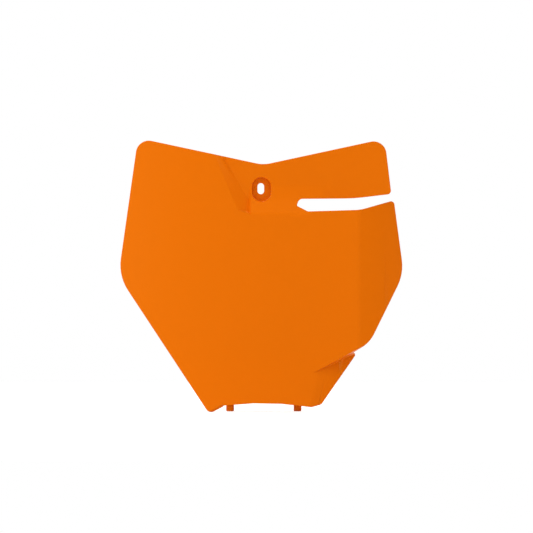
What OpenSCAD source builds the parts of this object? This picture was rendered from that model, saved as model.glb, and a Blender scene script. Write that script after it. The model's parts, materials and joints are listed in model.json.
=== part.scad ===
// Front number board for a motocross bike, moulded in one piece.
// Seen from the front, +X is to the right and +Z is up, and the front faces -Y.
// The origin is the middle of the screw slot, on the seat that the screw head clamps.

/* [Outline] */
// How far left of the screw the upper left corner lies
top_left_x = 123.1; // [115:0.1:130]
// How far above the screw the upper left corner lies
top_left_z = 50.9; // [44:0.1:58]
// How far right of the screw the upper right corner lies
top_right_x = 123.8; // [115:0.1:130]
// How far above the screw the upper right corner lies
top_right_z = 49.9; // [44:0.1:58]
// Rounding of both upper corners
top_corner_r = 13; // [6:0.5:18]
// Place of the dip in the top edge, right of the screw
dip_x = 2.5; // [-2:0.1:8]
// Height of the dip in the top edge above the screw
dip_z = 23.8; // [20:0.1:30]
// Rounding of the dip
dip_r = 33; // [15:1:45]
// How far left of the screw the widest point lies
left_x = 142.8; // [136:0.1:150]
// How far below the screw the left widest point lies
left_drop = 87.2; // [80:0.1:95]
// How far right of the screw the widest point lies
right_x = 143.1; // [138:0.1:150]
// How far below the screw the right widest point lies
right_drop = 84.9; // [78:0.1:92]
// Rounding of both widest points
side_r = 46; // [25:1:55]
// Lowest tip of the foot at the lower left, left of the screw
foot_x = 51.8; // [48:0.1:56]
// Lowest tip of the foot, below the screw
foot_drop = 224.7; // [222:0.1:228]
// Rounding of the foot's tip
foot_r = 6; // [3:0.5:8]
// Lower right corner of the neck, right of the screw
neck_low_x = 60.4; // [57:0.1:64]
// Lower right corner of the neck, below the screw
neck_low_drop = 215.7; // [214:0.1:217]
// Height of the corner that the arch in the lower edge is rounded from, above the neck's corner
arch_rise = 4.2; // [2:0.1:6]

/* [Hose slot] */
// Closed end of the slot for the brake hose, right of the screw
hose_end_x = 36; // [33:0.1:42]
// Upper edge of the hose slot, below the screw
hose_top_drop = 10.3; // [9:0.1:11]
// Height of the hose slot along its straight part
hose_gap = 12; // [9:0.1:12.4]
// Gap between arm and board at the slot's open end
mouth_gap = 6.2; // [5:0.1:8]

/* [Skin] */
// Thickness of the moulded skin
wall = 2.2; // [1.8:0.1:2.8]
// How far the left edge lies behind the flat middle
sweep_back = 42; // [30:1:50]
// Where the flat middle begins, right of the screw
flat_from = 30; // [20:1:45]
// Where the wing folds back, right of the screw
fold_x = 98; // [90:0.5:104]
// Rounding of the wing's fold, on its outside
fold_r = 12; // [6:0.5:16]
// Angle of the wing beside its fold
fold_angle = 24; // [15:1:32]
// Radius of the wing's own curve
wing_r = 200; // [150:5:400]
// Where the lower end starts to curve forwards, below the screw
kick_drop = 150; // [140:1:165]
// Radius of that curve
kick_r = 250; // [200:5:400]

/* [Pocket] */
// Depth of the pocket at the top of the ramp, behind the panel's face
pocket_depth = 7.5; // [6:0.5:9]
// Forward lean of the pocket's floor and the arm
pocket_lean = 4; // [2:0.5:6]
// Lower end of the ramp, at the edge of the panel, below the screw
ramp_low = 25.6; // [24.5:0.1:27]
// Upper end of the ramp, on the pocket's floor, below the screw
ramp_high = 4; // [2:0.1:6]
// Left end of the ramp, left of the screw
ramp_left = 9.8; // [9:0.1:12]
// Where the ramp has faded out on the right, right of the screw
ramp_right = 66; // [60:1:75]
// Rounding between the pocket's floor and the ramp
ramp_fillet_r = 50; // [20:1:60]
// Rounding of the crest where the ramp meets the panel
crest_r = 15; // [5:1:18]
// Height of the steep lip that closes the pocket beside the ramp
lip_h = 3.7; // [2.5:0.1:5]
// Where the pocket's left wall meets the panel at the lip, left of the screw
wall_low_x = 22.6; // [20:0.1:25]
// Lean of that edge in the front view
wall_lean = 23.3; // [20:0.1:27]
// How steeply the left wall falls into the pocket
wall_slope = 22.7; // [19:0.1:25]
// Radius of the groove along the foot of that wall
groove_r = 1.5; // [1.2:0.1:2]
// Depth of that groove
groove_depth = 0.4; // [0.2:0.1:0.6]

/* [Neck] */
// Where the neck folds back, right of the screw
neck_fold_x = 52.5; // [49:0.1:56]
// Angle of the neck's side beside its fold
neck_angle = 14; // [10:1:20]
// Radius of the neck's side
neck_r = 150; // [110:5:200]
// Slope of the step's wall, from square to the panel
step_draft = 12; // [6:1:20]
// How far the neck's side leans forwards towards its lower end
neck_lean = 11; // [6:1:16]
// How far its fold leans in the front view
neck_tilt = 7; // [3:1:10]

/* [Screw seat] */
// Width of the screw slot
slot_w = 6.6; // [5.5:0.1:8.5]
// Height of the screw slot
slot_h = 11; // [9.5:0.1:12]
// Width of the well that takes the screw head
well_w = 19.4; // [17:0.1:22]
// Height of the well
well_h = 24.4; // [21:0.1:26]
// Depth of the well behind the pocket's floor
well_depth = 7; // [5:0.5:9]
// How far right of the screw the middle of the well lies
well_right = 0.6; // [0:0.1:1.2]
// How far below the screw the middle of the well lies
well_low = 0.8; // [0:0.1:1.5]
// Thickness of the wall round the well
boss_wall = 2.4; // [1.8:0.1:3]
// Thickness under the screw head
seat_wall = 3; // [2:0.5:4]
// Radius of the shallow relief that clears the washer
relief_r = 22.7; // [22:0.1:23.3]
// Depth of that relief behind the panel's face
relief_depth = 1.6; // [1.2:0.1:2.2]

/* [Lugs] */
// Diameter of the two lugs that plug into the mudguard
lug_d = 8; // [6:0.1:9]
// Distance between the lugs
lug_spacing = 67.4; // [60:0.1:72]
// How far right of the screw the middle between the lugs lies
lug_mid_x = 3; // [1:0.1:5]
// How far the lugs reach below the shelf that carries them
lug_length = 8.3; // [6:0.1:10]
// Rounding of the lugs' tips
lug_tip_r = 1.3; // [0.5:0.1:2]
// How far the lugs stand behind the panel's face
lug_back = 5; // [4.5:0.1:9]
// Width of the pad round each lug
lug_pad = 2.5; // [1.5:0.1:3.5]
// How far the underside of the shelf lies below the screw
shelf_drop = 214.2; // [213:0.1:214.5]
// Thickness of the shelf
shelf_t = 2.4; // [2:0.1:3]

/* [Ribs] */
// Thickness of the ribs at the back
rib_t = 1.8; // [1.4:0.1:2.4]
// How far those ribs stay below the back of the screw seat
rib_step = 1; // [0.5:0.1:2]
// Reach of the ribs round the screw seat
rib_reach = 27; // [20:1:32]
// Height of the gussets above the shelf
gusset_h = 18; // [12:1:24]

/* [Hidden] */
orange = [0.92, 0.42, 0.02];
$fn = 96;
// Facets of the large arcs and of the curve at the lower end
arc_facets = 720;
kick_facets = 360;

// Degrees between the points of a rounded corner, of the fold, of the wing's curve and of the ramp
round_step = 6;
fold_step = 4;
curve_step = 2;
ramp_step = 4;
// How far a block that only cuts reaches past what it cuts
over = 1;
// How far the ramp's rounding starts below the pocket's floor
sink = 0.05;
// Reach of the blocks past the board's widest points
margin = 8;
far = 200;
// Depth of the solid that the skin is hollowed from
block_depth = 2 * sweep_back + margin;

// The outline's smaller corners, each with x, z and a radius
arm_tip = [130.5, -5.4, 3.8];
arm_bend = [93.5, -9.8, 150];
hose_end_top = [hose_end_x + 2.2, -hose_top_drop, 5];
hose_end = [hose_end_x, -hose_top_drop - 6.8, 1.2];
hose_end_low = [hose_end_x + 11, -hose_top_drop - hose_gap - 0.5, 2.5];
hose_low_bend = [99.4, -hose_top_drop - hose_gap + 1.1, 41];
mouth_low = [133.2, arm_tip.y - mouth_gap, 3.5];
side_bend = [109.1, -153.6, 32];
step_corner = [93, -163.6, 0];
neck_top = [95.3, -165.7, 3];
neck_low = [neck_low_x, -neck_low_drop, 6];
arch_right = [50.5, -218.4, 3];
arch_top = [6.6, arch_rise - neck_low_drop, 300];
arch_left = [-37.2, -216.9, 0.6];
foot_start = [-38.6, -219, 0.8];
// Three points of the groove's line in the front view, as x and z
groove_top = [-43.6, 41.9];
groove_bend = [-31, 20.4];
groove_low = [-17.3, -3];
// Ends of the line where the neck's step meets the panel's face
step_from = [55, -183.4];
step_to = [92.5, -162.6];

// The left side is one arc that ends at the flat middle
sweep_w = left_x + flat_from;
sweep_r = whole((sweep_w * sweep_w + sweep_back * sweep_back) / (2 * sweep_back));
// Slope of the ramp, from upright
ramp_rise = atan(pocket_depth / (ramp_low - ramp_high));
// Depth of the seat behind the panel's face
seat_y = pocket_depth + well_depth;
// Depth of the skin's inner face at the foot
foot_back = swept(-foot_x) - kick_dip(foot_drop) + wall;

// Depth of the left arc behind the flat middle
function swept(x) = sweep_r - sqrt(sweep_r * sweep_r - pow(flat_from - x, 2));
// How far the lower end has come forwards at a distance below the screw
function kick_dip(drop) = kick_r - sqrt(kick_r * kick_r - pow(drop - kick_drop, 2));

// Rounds to a thousandth, so that two shapes drawn from one number meet exactly
function whole(v) = round(1000 * v) / 1000;
function unit(v) = v / norm(v);
function turned(v, a) = [v.x * cos(a) - v.y * sin(a), v.x * sin(a) + v.y * cos(a)];

// Depth of the ramp's slope, and of the pocket's floor, at a height
function ramp_depth(z) = pocket_depth * (ramp_low + z) / (ramp_low - ramp_high);
function floor_depth(z) = pocket_depth - (z + ramp_high) * tan(pocket_lean);

// Points of an arc that faces -Y, from one slope to another
function bow(centre, r, from, to, step) =
    let (steps = max(1, ceil(abs(to - from) / step)))
    [for (i = [0:steps])
        let (a = from + (to - from) * i / steps)
        centre + r * [sin(a), -cos(a)]];

// Points of the arc that rounds the corner q between p and s
function corner_arc(p, q, s, r) =
    let (a = unit(p - q), b = unit(s - q),
         half = acos(a * b) / 2,
         centre = q + unit(a + b) * r / sin(half),
         start = q + a * r / tan(half) - centre,
         turn = (180 - 2 * half) * sign(cross(b, a)),
         steps = max(1, ceil(abs(turn) / round_step)))
    [for (i = [0:steps]) centre + turned(start, turn * i / steps)];

// Closed outline through corners that each give x, z and a radius
function rounded(corners) =
    let (n = len(corners))
    [for (i = [0:n - 1])
        let (p = corners[(i + n - 1) % n], q = corners[i], s = corners[(i + 1) % n])
        each q[2] == 0 ? [[q.x, q.y]]
            : corner_arc([p.x, p.y], [q.x, q.y], [s.x, s.y], q[2])];

// Extrudes a shape drawn in the front view, from one depth to another
module through(from_y, to_y) {
    translate([0, to_y, 0]) rotate([90, 0, 0]) linear_extrude(to_y - from_y) children();
}

// Runs a horizontal section straight up, and down round the curve of the lower end
module kicked(top) {
    sweep = asin((foot_drop + margin - kick_drop) / kick_r);
    translate([0, 0, -kick_drop]) linear_extrude(top + kick_drop) children();
    translate([0, -kick_r, -kick_drop]) rotate([-90, 0, 90])
        rotate_extrude(angle = sweep, $fn = kick_facets)
            translate([kick_r, 0]) rotate(-90) children();
}

module board_outline() {
    polygon(rounded([
        [dip_x, dip_z, dip_r],
        [top_right_x, top_right_z, top_corner_r],
        arm_tip, arm_bend,
        hose_end_top, hose_end, hose_end_low, hose_low_bend, mouth_low,
        [right_x, -right_drop, side_r],
        side_bend, step_corner,
        neck_top, neck_low,
        arch_right, arch_top, arch_left,
        foot_start,
        [-foot_x, -foot_drop, foot_r],
        [-left_x, -left_drop, side_r],
        [-top_left_x, top_left_z, top_corner_r]
    ]));
}

// Section behind the left arc, moved back by depth
module arc_section(depth, back) {
    intersection() {
        translate([flat_from, sweep_r]) circle(sweep_r - depth, $fn = arc_facets);
        translate([-left_x - margin, -over]) square([sweep_w + margin, back + over]);
    }
}

// Section behind the panel's face: left arc, flat middle, fold and wing
module panel_section(inset) {
    back = block_depth + (inset > 0 ? over : 0);
    fold_centre = [fold_x - fold_r * tan(fold_angle / 2), fold_r];
    wing_centre = fold_centre + (wing_r - fold_r) * [-sin(fold_angle), cos(fold_angle)];
    wing_end = asin((right_x + margin - wing_centre.x) / wing_r);
    face = [
        [flat_from, inset],
        each bow(fold_centre, fold_r - inset, 0, fold_angle, fold_step),
        each bow(wing_centre, wing_r - inset, fold_angle, wing_end, curve_step)
    ];
    arc_section(inset, back);
    polygon([each face, [face[len(face) - 1].x, back], [flat_from, back]]);
}

// Section behind the pocket's floor and the arm, which has no wing
module arm_section(inset) {
    back = block_depth + (inset > 0 ? over : 0);
    arc_section(pocket_depth + inset, back);
    translate([flat_from, pocket_depth + inset])
        square([right_x + margin - flat_from, back - pocket_depth - inset]);
}

// The part of the front view that belongs to the pocket and the arm
module arm_zone(inset) {
    low = -hose_top_drop - hose_gap / 2 - (inset > 0 ? over : 0);
    mouth = [mouth_low.x, arm_tip.y - mouth_gap / 2];
    rise = (mouth.y - low) * (far - arm_bend.x) / (mouth.x - arm_bend.x);
    top = top_left_z + margin;
    polygon([[-far, low], [arm_bend.x, low], [far, low + rise], [far, top], [-far, top]]);
}

// Everything on one side of the plane through three points, with the plane moved by inset
module side_of(p, q, s, inset) {
    normal = unit(cross(q - p, s - p));
    translate(p - inset * normal) rotate([0, acos(normal.z), atan2(normal.y, normal.x)])
        translate([-far, -far, 0]) cube([2 * far, 2 * far, far]);
}

// Everything right of a place, or everything left of it
module right_of(x) { translate([x, -far, -far]) cube(2 * far); }
module left_of(x) { translate([x - 2 * far, -far, -far]) cube(2 * far); }

// Everything above a height
module above(z) { translate([-far, -far, z]) cube(2 * far); }

// Height and depth of the ramp's face, from the pocket's floor down to the panel's face
function ramp_face(inset) =
    let (lean = -pocket_lean,
         reach = ramp_fillet_r / (1 + cos(ramp_rise - lean)),
         fillet = [reach * (sin(lean) + sin(ramp_rise)) - ramp_high,
                   pocket_depth + sink - reach * (cos(lean) + cos(ramp_rise))],
         crest = [-ramp_low - crest_r * tan(ramp_rise / 2), crest_r])
    [for (p = concat(bow(fillet, -ramp_fillet_r - inset, lean, ramp_rise, ramp_step),
                     bow(crest, crest_r - inset, ramp_rise, 0, ramp_step)))
        [whole(p.x), whole(p.y)]];

// Solid behind the ramp, swept round with the panel's left arc and straight beside it
module ramp(inset) {
    face = ramp_face(inset);
    foot = face[len(face) - 1].x;
    turn = asin((flat_from + wall_low_x + margin) / sweep_r);
    side = [
        [block_depth, face[0].x], for (p = face) [p.y, p.x],
        [-margin, foot], [-margin, -2 * far], [block_depth, -2 * far]
    ];
    translate([flat_from, sweep_r, 0]) mirror([1, 0, 0]) rotate([0, 0, -90])
        rotate_extrude(angle = turn, $fn = arc_facets) polygon([for (p = side) [sweep_r - p.x, p.y]]);
    translate([flat_from, 0, 0]) rotate([90, 0, 90]) linear_extrude(far) polygon(side);
}

// The ramp, which fades out on the right above the hose slot
module faded_ramp(inset) {
    slot_tip = [hose_end.x + over, ramp_depth(hose_end.y), hose_end.y];
    difference() {
        ramp(inset);
        left_of(inset - ramp_left);
        intersection() {
            side_of(slot_tip, [ramp_right, floor_depth(hose_end_top.y), hose_end_top.y],
                    [ramp_right, floor_depth(margin), margin], inset);
            through(-far, far) arm_zone(0);
        }
    }
}

// What fills up the crest's rounding on the right, below the hose slot
module crest_end(inset) {
    slot_low = [hose_end_low.x, ramp_depth(hose_end_low.y), hose_end_low.y];
    difference() {
        side_of(slot_low, [slot_low.x, pocket_depth, -ramp_high], [ramp_right, 0, slot_low.z], -inset);
        left_of(inset - ramp_left);
        above(hose_end.y);
    }
}

// What the pocket takes out of the panel's solid
module pocket_cut(inset) {
    edge = [-wall_low_x, swept(-wall_low_x), lip_h - ramp_low];
    run = 50;
    edge_top = [edge.x - run * tan(wall_lean), swept(edge.x - run * tan(wall_lean)), edge.z + run];
    lip_end = [-ramp_left, swept(-ramp_left), -ramp_low];
    fall = [1, tan(wall_slope), 0];
    difference() {
        side_of(edge, edge + fall, edge_top, inset);
        faded_ramp(inset);
        crest_end(inset);
        difference() {
            side_of(edge, edge + fall, lip_end, -inset);
            right_of(inset - ramp_left);
        }
    }
}

// Axis of the groove at a point of the front view, for a groove of some depth
function groove_axis(p, depth) = [p.x, floor_depth(p.y) + swept(p.x) + depth - groove_r, p.y];

// Shallow groove along the foot of the pocket's left wall, which fades out beside the well
module wall_groove() {
    bend = groove_axis(groove_bend, groove_depth);
    for (end = [groove_axis(groove_top, groove_depth), groove_axis(groove_low, 0)]) {
        axis = unit(bend - end);
        translate(end) rotate([0, acos(axis.z), atan2(axis.y, axis.x)])
            cylinder(r = groove_r, h = norm(bend - end) + over / 2);
    }
}

// What the neck's folded side and the step above it take out of the panel's solid
module neck_cut(inset) {
    neck_mid = 200;
    reach = 60;
    centre_x = -neck_r * sin(neck_angle);
    step_tilt = atan2(step_to.y - step_from.y, step_to.x - step_from.x);
    intersection() {
        translate([neck_fold_x, -kick_dip(neck_mid), -neck_mid]) rotate([-neck_lean, neck_tilt, 0])
            difference() {
                translate([centre_x, -reach, -reach]) cube([2 * reach, 2 * reach, 2 * reach]);
                translate([centre_x, neck_r * cos(neck_angle), -reach - over])
                    cylinder(r = neck_r - inset, h = 2 * (reach + over), $fn = arc_facets);
            }
        translate([step_from.x, 0, step_from.y]) rotate([0, -step_tilt, 0]) rotate([-step_draft, 0, 0])
            translate([-far, -far, inset - far]) cube([2 * far, 2 * far, far]);
    }
}

// Upright oval that stands for a slot, drawn in the front view
module oval(w, h) {
    for (side = [-1, 1]) translate([0, side * (h - w) / 2]) circle(d = w);
    square([w, h - w], center = true);
}

// Well for the screw head, wider towards the front
module well() {
    draft = 8;
    mouth_y = -2;
    grow = (pocket_depth - mouth_y) * tan(draft);
    front_r = well_w / 2 + grow;
    seat_r = well_w / 2 - well_depth * tan(draft);
    half = (well_h - well_w) / 2;
    translate([well_right, 0, -well_low]) {
        for (side = [-1, 1]) translate([0, seat_y, side * half]) rotate([90, 0, 0])
            cylinder(r1 = seat_r, r2 = front_r, h = seat_y - mouth_y);
        translate([0, 0, -half]) linear_extrude(2 * half)
            polygon([[-seat_r, seat_y], [seat_r, seat_y], [front_r, mouth_y], [-front_r, mouth_y]]);
    }
}

// Solid core behind the well, which carries the screw
module seat_core() {
    through(0, seat_y + seat_wall) translate([well_right, -well_low])
        oval(well_w + 2 * boss_wall, well_h + 2 * boss_wall);
}

// Ribs that brace the core against the skin, in a cross
module seat_ribs() {
    back = seat_y + seat_wall - rib_step;
    for (turn = [0:90:270])
        translate([well_right, 0, -well_low]) rotate([0, turn, 0])
            translate([0, 0, -rib_t / 2]) linear_extrude(rib_t)
                polygon([[0, 0], [0, back], [well_w / 2, back],
                         [rib_reach, pocket_depth + wall], [rib_reach, 0]]);
}

// Shelf behind the lower edge, with a round pad for each lug
module shelf() {
    pad_r = lug_d / 2 + lug_pad;
    translate([lug_mid_x, 0, -shelf_drop]) linear_extrude(shelf_t) {
        for (side = [-1, 1]) translate([side * lug_spacing / 2, lug_back]) circle(pad_r);
        translate([-lug_spacing / 2, -margin - pad_r]) square([lug_spacing, margin + lug_back + 2 * pad_r]);
        translate([-lug_spacing / 2 - pad_r, -margin - pad_r])
            square([lug_spacing + 2 * pad_r, margin + lug_back + pad_r]);
    }
}

// Gussets that brace the shelf, one above each lug and two between
module gussets() {
    reach = lug_back + lug_d / 2;
    front = -2 * margin;
    top = shelf_t + gusset_h;
    count = 4;
    for (i = [0:count - 1])
        translate([lug_mid_x + lug_spacing * (i / (count - 1) - 0.5) - rib_t / 2, 0, -shelf_drop])
            rotate([90, 0, 90]) linear_extrude(rib_t)
                polygon([[front, 0], [reach, 0], [reach, shelf_t], [0, top], [front, top]]);
}

// One lug, hanging from the middle of the shelf's thickness
module lug() {
    r = lug_d / 2;
    length = lug_length + shelf_t / 2;
    translate([0, 0, -length]) rotate_extrude() {
        square([r - lug_tip_r, length]);
        translate([0, lug_tip_r]) square([r, length - lug_tip_r]);
        translate([r - lug_tip_r, lug_tip_r]) circle(lug_tip_r);
    }
}

// Slanted lower face of the foot, which shows from the front
module foot_bevel() {
    foot_tilt = 23;
    length = 16;
    start = [0.8, 0.5];
    front = -3 * wall;
    top = 9;
    low = -6;
    translate([start.x - foot_x, foot_back, start.y - foot_drop]) rotate([0, -foot_tilt, 0])
        rotate([90, 0, 90]) linear_extrude(length)
            polygon([[0, 0], [front, top], [front, low], [0, low]]);
}

module solid(inset) {
    union() {
        difference() {
            kicked(top_left_z + margin) panel_section(inset);
            pocket_cut(inset);
            neck_cut(inset);
        }
        intersection() {
            translate([0, pocket_depth, -ramp_high]) rotate([pocket_lean, 0, 0])
                translate([0, -pocket_depth, -far]) linear_extrude(2 * far) arm_section(inset);
            through(-far, far) arm_zone(inset);
        }
    }
}

module number_board() {
    color(orange) translate([0, -seat_y, 0]) {
        difference() {
            intersection() {
                difference() {
                    solid(0);
                    difference() {
                        solid(wall);
                        seat_core();
                        seat_ribs();
                        shelf();
                        gussets();
                    }
                }
                through(-far, block_depth + 2 * over) board_outline();
            }
            wall_groove();
            well();
            through(0, seat_y + seat_wall + over) oval(slot_w, slot_h);
            through(-far, relief_depth) circle(relief_r);
            foot_bevel();
        }
        for (side = [-1, 1])
            translate([lug_mid_x + side * lug_spacing / 2, lug_back, -shelf_drop + shelf_t / 2]) lug();
    }
}

number_board();
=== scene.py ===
# %% [markdown]
# # A front number board for a motocross bike
# The board is one moulding of orange polypropylene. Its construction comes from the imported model, in metres,
# with the screw slot at the origin, the front towards -Y and +Z up. What Blender adds is what a mould and
# its plastic add: rounded edges, a fine satin skin, and the light of a small product studio.

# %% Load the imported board
import json
import math

import bpy
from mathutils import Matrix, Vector
from mathutils.bvhtree import BVHTree
from mathutils.geometry import intersect_point_line

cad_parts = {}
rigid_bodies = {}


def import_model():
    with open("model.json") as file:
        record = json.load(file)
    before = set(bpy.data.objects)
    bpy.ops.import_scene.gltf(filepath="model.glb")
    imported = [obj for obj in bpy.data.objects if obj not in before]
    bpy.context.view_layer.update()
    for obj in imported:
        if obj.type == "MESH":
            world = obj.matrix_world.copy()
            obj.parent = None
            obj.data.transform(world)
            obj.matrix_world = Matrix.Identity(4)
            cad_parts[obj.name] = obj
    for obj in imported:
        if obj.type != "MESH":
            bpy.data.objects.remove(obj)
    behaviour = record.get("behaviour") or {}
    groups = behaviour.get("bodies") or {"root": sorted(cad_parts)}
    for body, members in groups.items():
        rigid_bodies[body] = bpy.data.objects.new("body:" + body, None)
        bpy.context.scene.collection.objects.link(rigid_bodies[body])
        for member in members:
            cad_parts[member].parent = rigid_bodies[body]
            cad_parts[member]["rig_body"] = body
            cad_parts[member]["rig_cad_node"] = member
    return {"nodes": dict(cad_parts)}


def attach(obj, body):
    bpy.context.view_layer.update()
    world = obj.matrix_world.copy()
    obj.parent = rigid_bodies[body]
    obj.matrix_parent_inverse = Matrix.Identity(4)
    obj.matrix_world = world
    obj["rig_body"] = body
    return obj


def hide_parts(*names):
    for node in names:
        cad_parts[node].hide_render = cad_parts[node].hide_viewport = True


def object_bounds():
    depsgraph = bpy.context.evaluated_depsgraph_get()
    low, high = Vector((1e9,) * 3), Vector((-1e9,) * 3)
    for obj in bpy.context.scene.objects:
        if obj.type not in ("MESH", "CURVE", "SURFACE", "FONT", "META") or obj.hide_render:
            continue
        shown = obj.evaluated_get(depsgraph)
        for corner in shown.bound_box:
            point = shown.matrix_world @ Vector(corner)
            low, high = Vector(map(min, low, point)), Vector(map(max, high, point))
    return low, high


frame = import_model()
cad_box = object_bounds()
MM = 0.001
print("CAD box:", [tuple(round(v / MM, 1) for v in corner) for corner in cad_box], "mm")

# %% [markdown]
# ## One clean mesh
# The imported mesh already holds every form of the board, so it is a surer start than new primitives would be.
# But it is loose triangles: two faces that meet don't share their corners, and no edge can be rounded yet.
# A node is never changed, so a copy is made. Its doubles are merged, and flat stretches are dissolved into
# single faces. Each edge of the moulding is then one clean row of edges.

# %% Helpers that choose, copy and open a piece
def choose(piece):
    """Makes one piece the only selected and the active one."""
    bpy.ops.object.select_all(action="DESELECT")
    piece.select_set(True)
    bpy.context.view_layer.objects.active = piece


def copy_of(piece):
    """Duplicates a piece with its mesh, and leaves the copy active."""
    choose(piece)
    bpy.ops.object.duplicate()
    return bpy.context.active_object


def edit(piece, select_mode="VERT"):
    """Opens one piece in edit mode with everything in it selected."""
    choose(piece)
    bpy.ops.object.mode_set(mode="EDIT")
    bpy.ops.mesh.select_mode(type=select_mode)
    bpy.ops.mesh.select_all(action="SELECT")


# %% Copy the node and merge it
MERGE = 0.02 * MM
FLAT = math.radians(0.25)

board = copy_of(frame["nodes"]["number_board"])
board.name = "moulded_board"
board.parent = None
# These marks tell that an object is a CAD node, which the copy isn't
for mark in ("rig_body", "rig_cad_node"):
    if mark in board:
        del board[mark]

edit(board)
bpy.ops.mesh.customdata_custom_splitnormals_clear()
bpy.ops.mesh.remove_doubles(threshold=MERGE)
bpy.ops.mesh.dissolve_limited(angle_limit=FLAT, delimit=set())
bpy.ops.object.mode_set(mode="OBJECT")
print("merged:", len(board.data.vertices), "corners,", len(board.data.polygons), "faces")

# %% [markdown]
# ## The ramp's left end
# Below the screw a ramp rises out of the pocket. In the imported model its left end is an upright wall. On the
# moulding it slopes, so that no deep corner is left beside it. A bisect could cut the slope, but would leave
# a hole to fill. It is simpler to slide two corners along the edges that they lie on: the faces that meet
# on those edges stay flat, and only the end of the ramp leans. The places are in millimetres.

# %% Slope the ramp's left end
RAMP_END_FOOT = (-9.8, -5.45, -21.9)
LIP_CORNER = (-22.6, -10.8, -21.9)
FOOT_SHARE = 0.3
RAMP_END_BACK = (-9.8, -3.99, -16.14)
WALL_FOOT = (-12.1, -4.1, -10.9)
BACK_SHARE = 0.9


def corner_near(piece, place):
    """The corner of a mesh that is nearest to a place given in millimetres."""
    target = Vector(place) * MM
    return min(piece.data.vertices, key=lambda corner: (corner.co - target).length)


def slide(piece, start, end, share):
    """Moves one corner along the line to another one, by a share of the way."""
    edit(piece)
    bpy.ops.mesh.select_all(action="DESELECT")
    bpy.ops.object.mode_set(mode="OBJECT")
    moving, fixed = corner_near(piece, start), corner_near(piece, end)
    way = share * (fixed.co - moving.co)
    moving.select = True
    bpy.ops.object.mode_set(mode="EDIT")
    bpy.ops.transform.translate(value=way)
    bpy.ops.object.mode_set(mode="OBJECT")
    print("slid one corner by", round(way.length / MM, 1), "mm")


slide(board, RAMP_END_FOOT, LIP_CORNER, FOOT_SHARE)
slide(board, RAMP_END_BACK, WALL_FOOT, BACK_SHARE)

# %% [markdown]
# ## Rounded edges
# No edge of a moulding is knife sharp: the steel of the mould is radiused, and the thin line of light along
# each edge is what makes plastic look like plastic. A Bevel node in the material would only shade such an
# edge. A real bevel is cut into the mesh, so the silhouette and the exported mesh are round too. A profile
# of 0.5 makes it a round arc, and three steps are enough for an edge as small as this one.

# %% Find and round the sharp edges
EDGE_ROUND = 0.55 * MM
ROUND_STEPS = 3
ROUND_PROFILE = 0.5
SHARP = math.radians(28)


def sharp_edges(piece):
    """Numbers of the edges whose two faces meet at more than a small angle."""
    edit(piece, "EDGE")
    bpy.ops.mesh.select_all(action="DESELECT")
    bpy.ops.mesh.edges_select_sharp(sharpness=SHARP)
    bpy.ops.object.mode_set(mode="OBJECT")
    return {edge.index for edge in piece.data.edges if edge.select}


def bevel_edges(piece, numbers):
    """Rounds the numbered edges of a piece."""
    edit(piece, "EDGE")
    bpy.ops.mesh.select_all(action="DESELECT")
    bpy.ops.object.mode_set(mode="OBJECT")
    for n in numbers:
        piece.data.edges[n].select = True
    bpy.ops.object.mode_set(mode="EDIT")
    bpy.ops.mesh.bevel(offset=EDGE_ROUND, segments=ROUND_STEPS, profile=ROUND_PROFILE,
                       affect="EDGES", clamp_overlap=False)
    bpy.ops.object.mode_set(mode="OBJECT")


roomy = sharp_edges(board)
print("sharp edges:", len(roomy))

# %% [markdown]
# ## Where the rounding has no room
# Where two edges run together, as at the tip of a groove, the faces of a bevel fold over. Blender's own cure,
# Clamp Overlap, would make every rounding as narrow as the tightest place. So it is off, and the bevel is
# tried on a copy. A face that has folded over points away from the surface that it should lie on, which is
# how it is found. The edges beside it are left out, and the trial is made again until nothing folds.

# %% Find the faces that folded over
SPECK = (0.02 * MM) ** 2
SURFACE_REACH = 2 * EDGE_ROUND
TURNED_AWAY = 0.2
BESIDE_REACH = 1.2 * EDGE_ROUND


def folded_places(piece, surface):
    """Middles and corners of the triangles that are turned away from the surface near them."""
    mesh = piece.data
    mesh.calc_loop_triangles()
    found = []
    for triangle in mesh.loop_triangles:
        if triangle.area < SPECK:
            continue
        corners = [mesh.vertices[c].co.copy() for c in triangle.vertices]
        middle = sum(corners, Vector()) / 3
        near = surface.find_nearest_range(middle, SURFACE_REACH)
        likeness = max((triangle.normal.dot(normal) for place, normal, face, far in near), default=-1)
        if likeness < TURNED_AWAY:
            found += [middle, *corners]
    return found


def edge_ends(piece, numbers):
    """Both ends of each numbered edge."""
    corners = piece.data.vertices
    return {n: tuple(corners[c].co.copy() for c in piece.data.edges[n].vertices) for n in numbers}


def beside(place, ends):
    """Tells whether a place lies beside an edge, about as near as the rounding is wide."""
    on_line, share = intersect_point_line(place, *ends)
    on_edge = ends[0].lerp(ends[1], min(1, max(0, share)))
    return (on_edge - place).length < BESIDE_REACH


# %% Try the rounding and leave out what folds
TRIES = 6

surface = BVHTree.FromObject(board, bpy.context.evaluated_depsgraph_get())
cramped = set()
for attempt in range(TRIES):
    trial = copy_of(board)
    bevel_edges(trial, roomy)
    folded = folded_places(trial, surface)
    bpy.data.objects.remove(trial)
    ends = edge_ends(board, roomy)
    crossed = {n for n in roomy if any(beside(place, ends[n]) for place in folded)}
    print("try", attempt + 1, "folded:", len(folded), "edges left out:", len(crossed))
    if not crossed:
        break
    roomy -= crossed
    cramped |= crossed

# %% Round the board
for n in cramped:
    board.data.edges[n].use_edge_sharp = True
bevel_edges(board, roomy)
print("rounded:", len(board.data.vertices), "corners,", len(board.data.polygons), "faces")

# %% [markdown]
# ## Even shading
# The flats of a moulding look flat right up to their rounded edges. Smooth shading alone would bend the light
# across them, because each corner takes the mean of all the faces round it. The Weighted Normal modifier lets
# the large faces decide instead. The edges that were left out are marked sharp, and they stay crisp.

# %% Shade the board and put it in the node's place
LARGE_FACES_ONLY = 100

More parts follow.
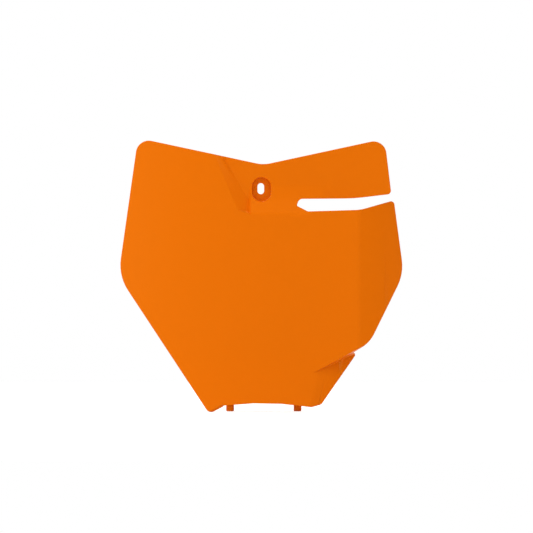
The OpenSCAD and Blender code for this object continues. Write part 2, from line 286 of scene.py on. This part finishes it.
bpy.ops.object.shade_smooth(keep_sharp_edges=True)
weighted = board.modifiers.new("even_normals", "WEIGHTED_NORMAL")
weighted.weight = LARGE_FACES_ONLY
weighted.keep_sharp = True
bpy.ops.object.modifier_apply(modifier=weighted.name)

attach(board, "root")
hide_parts("number_board")
print(board.name, "takes the place of the packed node")

# %% [markdown]
# ## The skin of the mould
# Plastic takes over the fine unevenness of the steel that it was moulded in. Modelling it would take millions
# of faces, so it is a noise on Object coordinates, which stays with the piece when the camera moves. A fine
# grain gives a height. Slow, wide patches change the roughness a little, as the skin is never quite even.

# %% The two noises of the skin
GRAIN_DETAIL = 3
PATCHES_PER_METRE = 22
PATCH_DETAIL = 2
NOISE_MEAN = 0.5


def math_node(make, operation):
    """A Math node that does one operation."""
    node = make("ShaderNodeMath")
    node.operation = operation
    return node


def fine_grain(make, link, given, place):
    """Height of a fine grain of the given size, from 0 to 1."""
    scale = math_node(make, "DIVIDE")
    scale.inputs[0].default_value = 1
    link(given.outputs["Grain Size"], scale.inputs[1])
    grain = make("ShaderNodeTexNoise")
    grain.inputs["Detail"].default_value = GRAIN_DETAIL
    link(place.outputs["Object"], grain.inputs["Vector"])
    link(scale.outputs[0], grain.inputs["Scale"])
    return grain.outputs["Fac"]


def patchy_roughness(make, link, given, place):
    """Roughness that strays from its base value in wide, slow patches."""
    patches = make("ShaderNodeTexNoise")
    patches.inputs["Scale"].default_value = PATCHES_PER_METRE
    patches.inputs["Detail"].default_value = PATCH_DETAIL
    link(place.outputs["Object"], patches.inputs["Vector"])
    centred = math_node(make, "SUBTRACT")
    centred.inputs[1].default_value = NOISE_MEAN
    link(patches.outputs["Fac"], centred.inputs[0])
    roughness = math_node(make, "MULTIPLY_ADD")
    link(centred.outputs[0], roughness.inputs[0])
    link(given.outputs["Spread"], roughness.inputs[1])
    link(given.outputs["Base Roughness"], roughness.inputs[2])
    return roughness.outputs[0]


# %% The moulded skin as a node group
def moulded_skin_group():
    """Fine unevenness of a moulded skin, as a roughness and a bump height."""
    group = bpy.data.node_groups.new("moulded skin", "ShaderNodeTree")
    for name in ("Grain Size", "Base Roughness", "Spread"):
        group.interface.new_socket(name, in_out="INPUT", socket_type="NodeSocketFloat")
    for name in ("Roughness", "Height"):
        group.interface.new_socket(name, in_out="OUTPUT", socket_type="NodeSocketFloat")
    make, link = group.nodes.new, group.links.new
    given = make("NodeGroupInput")
    result = make("NodeGroupOutput")
    place = make("ShaderNodeTexCoord")
    link(patchy_roughness(make, link, given, place), result.inputs["Roughness"])
    link(fine_grain(make, link, given, place), result.inputs["Height"])
    return group


skin_group = moulded_skin_group()
print("skin group:", len(skin_group.nodes), "nodes")

# %% [markdown]
# ## Satin polypropylene
# The plastic is coloured all through, with no paint on it. Its base colour is the orange itself, in linear
# light. The photograph shows hardly any white sheen, but with none at all the board would look like chalk. So
# the specular level is low, and a yellow tint takes the blue out of what is left. The roughness is 0.31 and
# varies little, because round 0.28 each patch showed as a faint outline in the denoised render.

# %% The plastic's material
ORANGE = (0.77, 0.146, 0, 1)
SPECULAR_LEVEL = 0.19
SPECULAR_TINT = (1, 1, 0.2, 1)
ROUGHNESS = 0.31
ROUGHNESS_SPREAD = 0.05
GRAIN_SIZE = 0.45 * MM
GRAIN_HEIGHT = 0.05 * MM
GRAIN_STRENGTH = 0.08


def orange_plastic():
    """Satin orange plastic, coloured all through."""
    material = bpy.data.materials.new("orange_polypropylene")
    material.use_nodes = True
    nodes, link = material.node_tree.nodes, material.node_tree.links.new
    shader = nodes["Principled BSDF"]
    shader.inputs["Base Color"].default_value = ORANGE
    shader.inputs["Specular IOR Level"].default_value = SPECULAR_LEVEL
    shader.inputs["Specular Tint"].default_value = SPECULAR_TINT
    skin = nodes.new("ShaderNodeGroup")
    skin.node_tree = skin_group
    skin.inputs["Grain Size"].default_value = GRAIN_SIZE
    skin.inputs["Base Roughness"].default_value = ROUGHNESS
    skin.inputs["Spread"].default_value = ROUGHNESS_SPREAD
    bump = nodes.new("ShaderNodeBump")
    bump.inputs["Strength"].default_value = GRAIN_STRENGTH
    bump.inputs["Distance"].default_value = GRAIN_HEIGHT
    link(skin.outputs["Roughness"], shader.inputs["Roughness"])
    link(skin.outputs["Height"], bump.inputs["Height"])
    link(bump.outputs["Normal"], shader.inputs["Normal"])
    return material


plastic = orange_plastic()
board.data.materials.clear()
board.data.materials.append(plastic)
print("material:", plastic.name)

# %% [markdown]
# ## The white ground
# The photograph has a plain white ground. Making it white with more light would bleach the board too, so the
# ground is the world's own colour. Its strength is 1 for the rays of the camera, also where they pass through
# something clear, and 0 for those that light the board. The plastic mirrors the ground behind it at glancing
# angles, so the strength is also 1 for mirrored rays that point backwards.

# %% The world
WHITE = (1, 1, 1, 1)
BACKWARDS = 0.3


def studio_world():
    """White ground for the camera, and for what the plastic mirrors of the ground behind it."""
    world = bpy.data.worlds.new("studio")
    bpy.context.scene.world = world
    world.use_nodes = True
    nodes, link = world.node_tree.nodes, world.node_tree.links.new
    nodes.clear()
    out = nodes.new("ShaderNodeOutputWorld")
    ground = nodes.new("ShaderNodeBackground")
    ground.inputs["Color"].default_value = WHITE
    direction = nodes.new("ShaderNodeTexCoord")
    split = nodes.new("ShaderNodeSeparateXYZ")
    link(direction.outputs["Generated"], split.inputs[0])
    behind = math_node(nodes.new, "GREATER_THAN")
    behind.inputs[1].default_value = BACKWARDS
    link(split.outputs["Y"], behind.inputs[0])
    rays = nodes.new("ShaderNodeLightPath")
    mirrored = math_node(nodes.new, "MULTIPLY")
    link(rays.outputs["Is Glossy Ray"], mirrored.inputs[0])
    link(behind.outputs[0], mirrored.inputs[1])
    straight = math_node(nodes.new, "MAXIMUM")
    link(rays.outputs["Is Camera Ray"], straight.inputs[0])
    link(rays.outputs["Is Transmission Ray"], straight.inputs[1])
    seen = math_node(nodes.new, "MAXIMUM")
    link(straight.outputs[0], seen.inputs[0])
    link(mirrored.outputs[0], seen.inputs[1])
    link(seen.outputs[0], ground.inputs["Strength"])
    link(ground.outputs[0], out.inputs["Surface"])
    return world


print("world:", studio_world().name)

# %% [markdown]
# ## The soft light
# The light in the photograph comes from all round, a little weaker from the right. So the wing that folds
# away to the right is darker, and the well is dark because little of the room reaches into it. One lamp
# couldn't do that. Five large soft boxes make the walls and the ceiling of such a room, each with its own
# brightness, where 1 renders as white. A lamp's energy is its brightness times its area times pi. The boxes
# above and on the left are the brightest, so the ramp and the left side, which lean towards them, are the
# palest.

# %% Soft boxes
ROOM = 3
BOX_SIZE = 2 * ROOM
SOFT_BOXES = {
    "front_soft_box": ((0, -ROOM, 0), 0.84),
    "back_soft_box": ((0, ROOM, 0), 1),
    "left_soft_box": ((-ROOM, 0, 0), 1.4),
    "right_soft_box": ((ROOM, 0, 0), 0.25),
    "top_soft_box": ((0, 0, ROOM), 1.82),
}


def soft_box(name, place, brightness):
    """A square soft box that faces the board and that the camera doesn't see."""
    bpy.ops.object.light_add(type="AREA", location=place)
    lamp = bpy.context.active_object
    lamp.name = name
    lamp.data.shape = "SQUARE"
    lamp.data.size = BOX_SIZE
    lamp.data.energy = math.pi * BOX_SIZE ** 2 * brightness
    lamp.visible_camera = False
    lamp.rotation_mode = "QUATERNION"
    lamp.rotation_quaternion = lamp.location.to_track_quat("Z", "Y")


for name, (place, brightness) in SOFT_BOXES.items():
    soft_box(name, place, brightness)
    print(name, "at", place, "with brightness", brightness)

# %% [markdown]
# ## The floor
# The board stands on a pale floor, which shows its soft shadow. A white floor would throw its light up at the
# board, so the floor is pale grey, and only what the camera sees of it is lifted to white.

# %% Floor
FLOOR_SIZE = 6
PALE = (0.8, 0.8, 0.8, 1)
FLOOR_ROUGHNESS = 0.9
CAMERA_LIFT = 0.3

floor_level = cad_box[0].z
bpy.ops.mesh.primitive_plane_add(size=FLOOR_SIZE, location=(0, 0, floor_level))
floor = bpy.context.active_object
floor.name = "studio_floor"
bpy.ops.object.transform_apply(location=True, rotation=True, scale=True)


def pale_floor():
    """Matt pale grey, with a white lift that only the camera sees."""
    material = bpy.data.materials.new("pale_floor")
    material.use_nodes = True
    nodes, link = material.node_tree.nodes, material.node_tree.links.new
    matt = nodes["Principled BSDF"]
    matt.inputs["Base Color"].default_value = PALE
    matt.inputs["Roughness"].default_value = FLOOR_ROUGHNESS
    matt.inputs["Specular IOR Level"].default_value = 0
    matt.inputs["Emission Strength"].default_value = 1
    rays = nodes.new("ShaderNodeLightPath")
    lift = math_node(nodes.new, "MULTIPLY")
    lift.inputs[1].default_value = CAMERA_LIFT
    link(rays.outputs["Is Camera Ray"], lift.inputs[0])
    link(lift.outputs[0], matt.inputs["Emission Color"])
    return material


floor.data.materials.append(pale_floor())
print("floor at", round(floor_level / MM, 1), "mm")

# %% [markdown]
# ## The camera
# The board is seen from straight ahead through a long lens, at 1 mm to a pixel. An orthographic camera could
# do it too, but a real one stood there. The distance is large, so that the side that sweeps back isn't drawn
# smaller than the middle. SLOT_AT is the pixel of the picture where the middle of the screw slot lies.

# %% Camera
PIXEL = 1.0 * MM
FRAME_PIXELS = 533
SLOT_AT = (260.8, 188.65)
CAMERA_FAR = 12
SENSOR = 36

half_frame = FRAME_PIXELS / 2
aim_x = (half_frame - SLOT_AT[0]) * PIXEL
aim_z = (SLOT_AT[1] - half_frame) * PIXEL
bpy.ops.object.camera_add(location=(aim_x, -CAMERA_FAR, aim_z), rotation=(math.radians(90), 0, 0))
camera = bpy.context.active_object
camera.data.sensor_width = SENSOR
camera.data.lens = SENSOR * CAMERA_FAR / (FRAME_PIXELS * PIXEL)
camera.data.clip_end = 2 * CAMERA_FAR
scene = bpy.context.scene
scene.camera = camera
scene.view_settings.view_transform = "Standard"
print("lens:", round(camera.data.lens), "mm")
